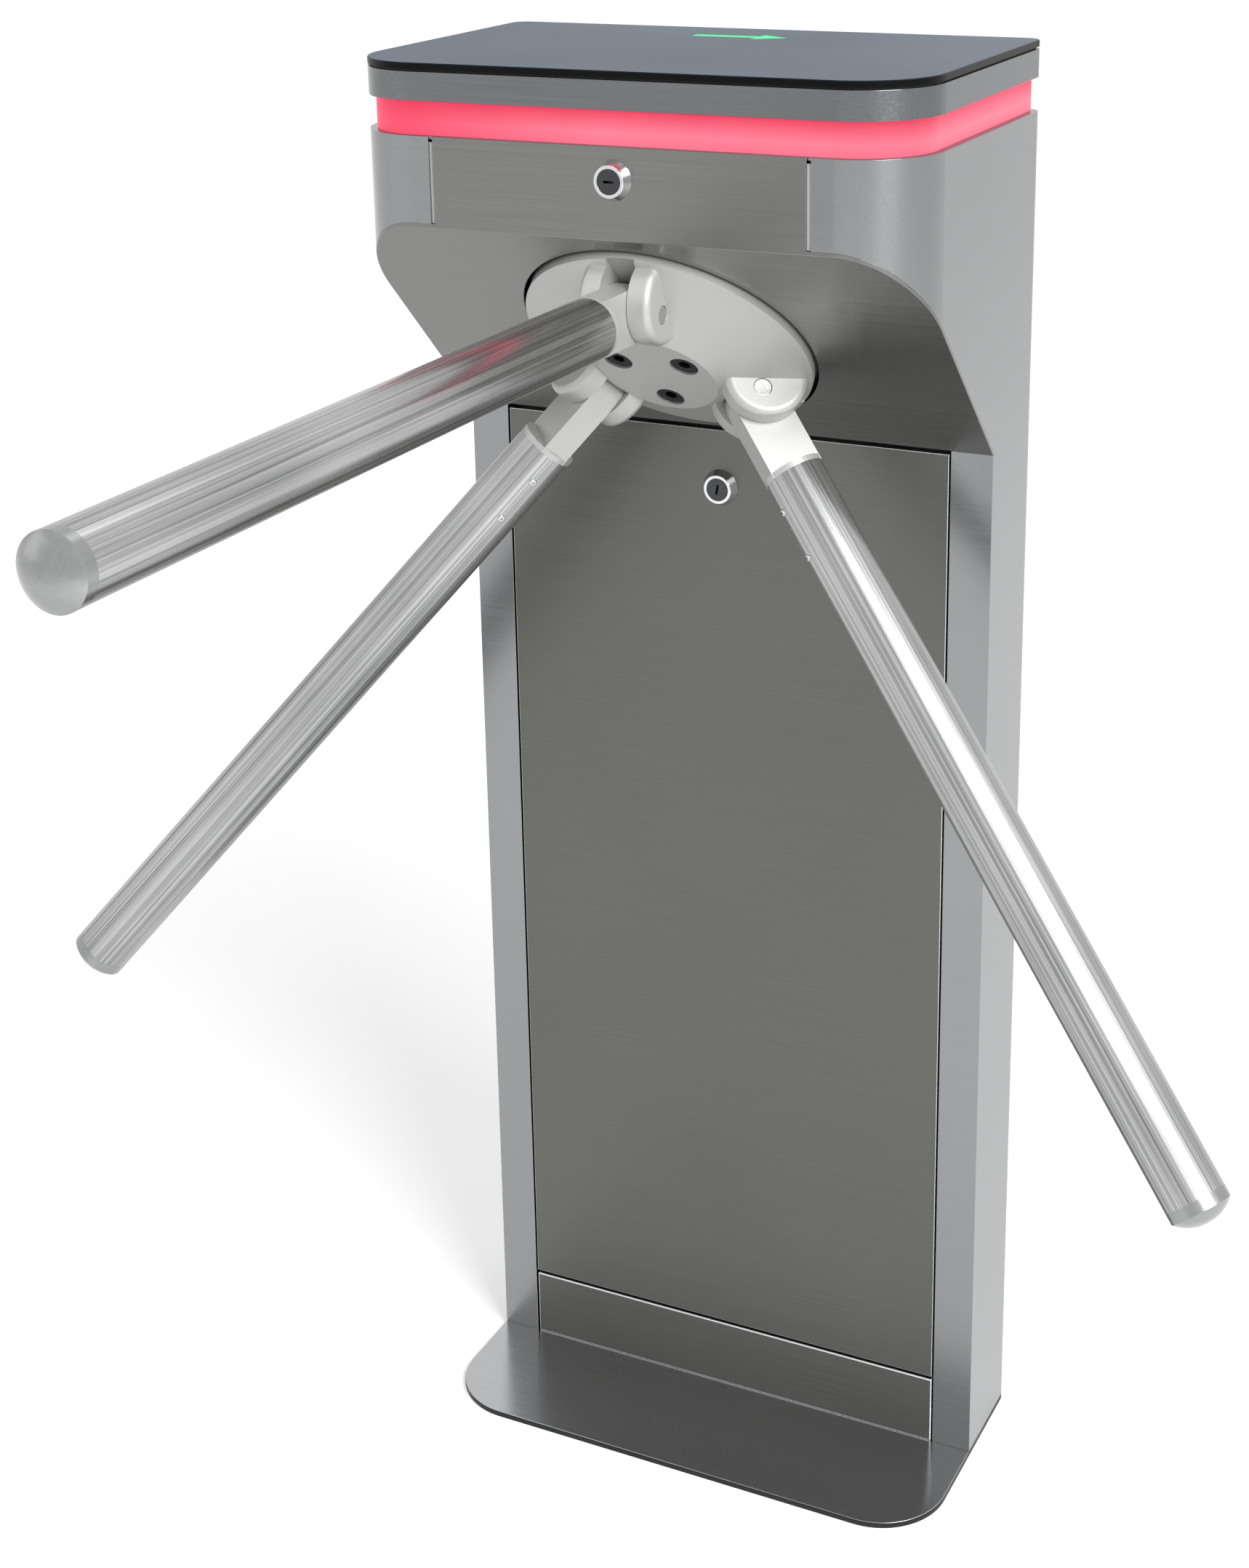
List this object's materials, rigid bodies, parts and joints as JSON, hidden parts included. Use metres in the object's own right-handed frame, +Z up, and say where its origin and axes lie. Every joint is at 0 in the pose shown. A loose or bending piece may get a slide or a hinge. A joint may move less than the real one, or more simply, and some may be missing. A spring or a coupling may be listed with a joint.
{
  "type": "tripod turnstile",
  "caption": "Slim floor-standing pedestal of brushed steel with a light band and a glass top; its slanted front carries a rotor with hinged bar arms that gate a walkway.",
  "frame": {"origin": "on the floor, at the middle of the four anchor holes in the base plate", "axes": "+Z up, the fascia and arms face -Y, +X to the right seen from the front"},
  "size_m": [0.9, 0.8597, 1.1085],
  "materials": {
    "shell_steel": "brushed stainless sheet, vertical grain",
    "panel_steel": "brushed stainless sheet",
    "cap_steel": "brushed stainless band",
    "bright_edge": "polished sheet edge",
    "base_steel": "brushed stainless plate",
    "tube_steel": "brushed stainless tube",
    "cast_alloy": "satin cast alloy",
    "machined_steel": "turned steel",
    "bearing_steel": "ground bearing steel",
    "dark_screw": "black oxide",
    "tinted_glass": "tinted toughened glass",
    "black_rubber": "black rubber",
    "lit_diffuser": "translucent light band",
    "circuit_board": "solder mask",
    "tray_steel": "zinc plated sheet",
    "black_plastic": "moulded plastic",
    "lock_chrome": "polished chrome",
    "lock_plug": "black key plug",
    "gear_brass": "machined brass"
  },
  "bodies": {
    "pedestal": {"base_plate": "base_steel", "base_brackets": "tray_steel", "cable_grommet": "black_rubber", "body_shell": "shell_steel", "front_fascia": "panel_steel", "slit_strips": "bright_edge", "kick_plate": "panel_steel", "front_panel": "panel_steel", "led_diffuser": "lit_diffuser", "led_board": "circuit_board", "cap_band": "cap_steel", "glass_gasket": "black_rubber", "glass_top": "tinted_glass", "top_tray": "tray_steel", "cap_posts": "machined_steel", "card_readers": "black_plastic", "indicator_board": "circuit_board", "main_plate": "tray_steel", "plate_standoffs": "machined_steel", "rear_plate": "tray_steel", "plate_pillars": "machined_steel", "front_bearing": "bearing_steel", "rear_bearing": "bearing_steel", "solenoids": "dark_screw", "damper_body": "black_plastic", "position_sensor": "black_plastic", "lock_housings": "lock_chrome", "lock_nuts": "machined_steel", "board_standoffs": "machined_steel", "control_board": "circuit_board", "power_supply": "tray_steel"},
    "rotor": {"rotor_hub": "cast_alloy", "hub_screws": "dark_screw", "arm_pins": "machined_steel", "rotor_shaft": "machined_steel", "lock_wheel": "machined_steel", "rotor_gear": "gear_brass", "encoder_disc": "black_plastic"},
    "arm_1": {"arm_root_1": "cast_alloy", "arm_tube_1": "tube_steel", "arm_cap_1": "tube_steel", "arm_screws_1": "machined_steel"},
    "arm_2": {"arm_root_2": "cast_alloy", "arm_tube_2": "tube_steel", "arm_cap_2": "tube_steel", "arm_screws_2": "machined_steel"},
    "arm_3": {"arm_root_3": "cast_alloy", "arm_tube_3": "tube_steel", "arm_cap_3": "tube_steel", "arm_screws_3": "machined_steel"},
    "pawl_left": {"pawl_left": "machined_steel"},
    "plunger_left": {"plunger_left": "machined_steel"},
    "pawl_right": {"pawl_right": "machined_steel"},
    "plunger_right": {"plunger_right": "machined_steel"},
    "damper_pinion": {"damper_pinion": "gear_brass"},
    "upper_lock": {"upper_lock_plug": "lock_plug", "upper_lock_cam": "machined_steel"},
    "lower_lock": {"lower_lock_plug": "lock_plug", "lower_lock_cam": "machined_steel"}
  },
  "joints": [
    {"name": "rotor_spin", "type": "hinge", "parent": "pedestal", "child": "rotor", "pos_m": [0, -0.13, 0.9125], "axis": [0, -0.7071, -0.7071], "continuous": true},
    {"name": "arm_1_fold", "type": "hinge", "parent": "rotor", "child": "arm_1", "pos_m": [0, -0.19668, 0.94523], "axis": [1, 0, 0], "range_deg": [0, 45]},
    {"name": "arm_2_fold", "type": "hinge", "parent": "rotor", "child": "arm_2", "pos_m": [-0.06088, -0.12212, 0.87068], "axis": [-0.5, -0.6124, 0.6124], "range_deg": [0, 45]},
    {"name": "arm_3_fold", "type": "hinge", "parent": "rotor", "child": "arm_3", "pos_m": [0.06088, -0.12212, 0.87068], "axis": [-0.5, 0.6124, -0.6124], "range_deg": [0, 45]},
    {"name": "pawl_left_swing", "type": "hinge", "parent": "pedestal", "child": "pawl_left", "pos_m": [-0.06, -0.06495, 0.91533], "axis": [0, 0.7071, 0.7071], "range_deg": [0, 12], "stiffness_Nm_per_rad": 0.3, "springref_deg": -17.19},
    {"name": "plunger_left_slide", "type": "slide", "parent": "pedestal", "child": "plunger_left", "axis": [0, -0.7071, 0.7071], "range_m": [0, 0.0055]},
    {"name": "pawl_right_swing", "type": "hinge", "parent": "pedestal", "child": "pawl_right", "pos_m": [0.06, -0.06495, 0.91533], "axis": [0, -0.7071, -0.7071], "range_deg": [0, 12], "stiffness_Nm_per_rad": 0.3, "springref_deg": -17.19},
    {"name": "plunger_right_slide", "type": "slide", "parent": "pedestal", "child": "plunger_right", "axis": [0, -0.7071, 0.7071], "range_m": [0, 0.0055]},
    {"name": "damper_spin", "type": "hinge", "parent": "pedestal", "child": "damper_pinion", "pos_m": [0, -0.02747, 0.89624], "axis": [0, -0.7071, -0.7071], "continuous": true},
    {"name": "upper_key_turn", "type": "hinge", "parent": "pedestal", "child": "upper_lock", "pos_m": [0, -0.214, 1.037], "axis": [0, -1, 0], "range_deg": [0, 90]},
    {"name": "lower_key_turn", "type": "hinge", "parent": "pedestal", "child": "lower_lock", "pos_m": [0, -0.046, 0.7815], "axis": [0, -1, 0], "range_deg": [0, 90]}
  ],
  "couplings": [
    {"joint": "damper_spin", "follows": "rotor_spin", "ratio": -2.5},
    {"joint": "plunger_left_slide", "follows": "pawl_left_swing", "m_per_rad": 0.024},
    {"joint": "plunger_right_slide", "follows": "pawl_right_swing", "m_per_rad": 0.024}
  ]
}
